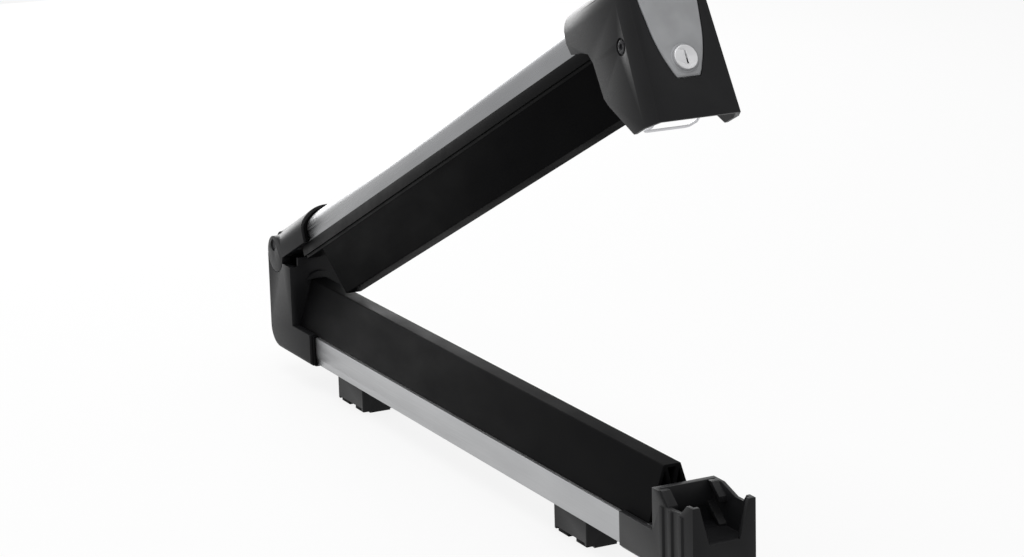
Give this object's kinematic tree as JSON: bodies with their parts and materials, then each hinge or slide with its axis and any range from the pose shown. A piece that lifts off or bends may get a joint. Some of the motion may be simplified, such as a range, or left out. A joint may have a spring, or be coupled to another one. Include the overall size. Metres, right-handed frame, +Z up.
{
  "type": "roof ski carrier",
  "caption": "Roof ski carrier: a silver bar on two sliding feet and a hinged upper arm, each with a black rubber pad, with a lifting hinge, a push-button lock head and a latch receiver.",
  "frame": {"origin": "centre of the footprint, on the plane the feet stand on", "axes": "+X from the hinge to the latch along the lower bar, +Y across the bar, +Z up"},
  "size_m": [0.852, 0.084, 0.5059],
  "materials": {
    "silver_aluminium": "satin anodised",
    "black_rubber": "matte",
    "charcoal_plastic": "fine texture",
    "dark_plastic": "smooth",
    "grey_plastic": "satin",
    "zinc_steel": "zinc plated",
    "lock_metal": "satin"
  },
  "bodies": {
    "base": {"lower_profile": "silver_aluminium", "lower_pad": "black_rubber", "hinge_housing": "charcoal_plastic", "lower_seal": "black_rubber", "latch_receiver": "charcoal_plastic", "housing_screws": "zinc_steel", "receiver_screws": "zinc_steel"},
    "carriage": {"hinge_carriage": "dark_plastic", "hinge_pin": "zinc_steel"},
    "arm": {"upper_profile": "silver_aluminium", "hinge_cap": "charcoal_plastic", "hinge_bushes": "dark_plastic", "upper_seal": "black_rubber", "pad_carrier": "dark_plastic", "upper_pad": "black_rubber", "lock_head": "charcoal_plastic", "rocker_pin": "zinc_steel", "release_spring": "zinc_steel", "button_pin": "zinc_steel"},
    "button": {"release_button": "grey_plastic", "lock_sleeve": "lock_metal"},
    "lock": {"lock_core": "lock_metal", "lock_cam": "zinc_steel"},
    "latch": {"bail_lever": "dark_plastic", "wire_bail": "zinc_steel"},
    "hinge_foot_body": {"hinge_foot": "dark_plastic", "hinge_foot_sole": "black_rubber", "hinge_slot_nut": "zinc_steel", "hinge_foot_screws": "zinc_steel"},
    "latch_foot_body": {"latch_foot": "dark_plastic", "latch_foot_sole": "black_rubber", "latch_slot_nut": "zinc_steel", "latch_foot_screws": "zinc_steel"}
  },
  "joints": [
    {"name": "carriage_lift", "type": "slide", "parent": "base", "child": "carriage", "axis": [0, 0, 1], "range_m": [0, 0.0511]},
    {"name": "arm_fold", "type": "hinge", "parent": "carriage", "child": "arm", "pos_m": [-0.407, 0, 0.134], "axis": [0, -1, 0], "range_deg": [-25.5, 0]},
    {"name": "button_press", "type": "hinge", "parent": "arm", "child": "button", "pos_m": [0.37482, 0, 0.42049], "axis": [0, -1, 0], "range_deg": [0, 4], "stiffness_Nm_per_rad": 0.6, "springref_deg": -5.73},
    {"name": "latch_swing", "type": "hinge", "parent": "arm", "child": "latch", "pos_m": [0.34222, 0, 0.44704], "axis": [0, -1, 0], "range_deg": [0, 9.05]},
    {"name": "lock_turn", "type": "hinge", "parent": "button", "child": "lock", "pos_m": [0.36811, 0, 0.4369], "axis": [0.9026, 0, 0.4305], "range_deg": [0, 90]},
    {"name": "hinge_foot_slide", "type": "slide", "parent": "base", "child": "hinge_foot_body", "axis": [1, 0, 0], "range_m": [-0.028, 0.15]},
    {"name": "latch_foot_slide", "type": "slide", "parent": "base", "child": "latch_foot_body", "axis": [1, 0, 0], "range_m": [-0.15, 0.07]}
  ],
  "couplings": [
    {"joint": "carriage_lift", "follows": "arm_fold", "m_per_rad": -0.11459},
    {"joint": "latch_swing", "follows": "button_press", "ratio": 2.25}
  ]
}
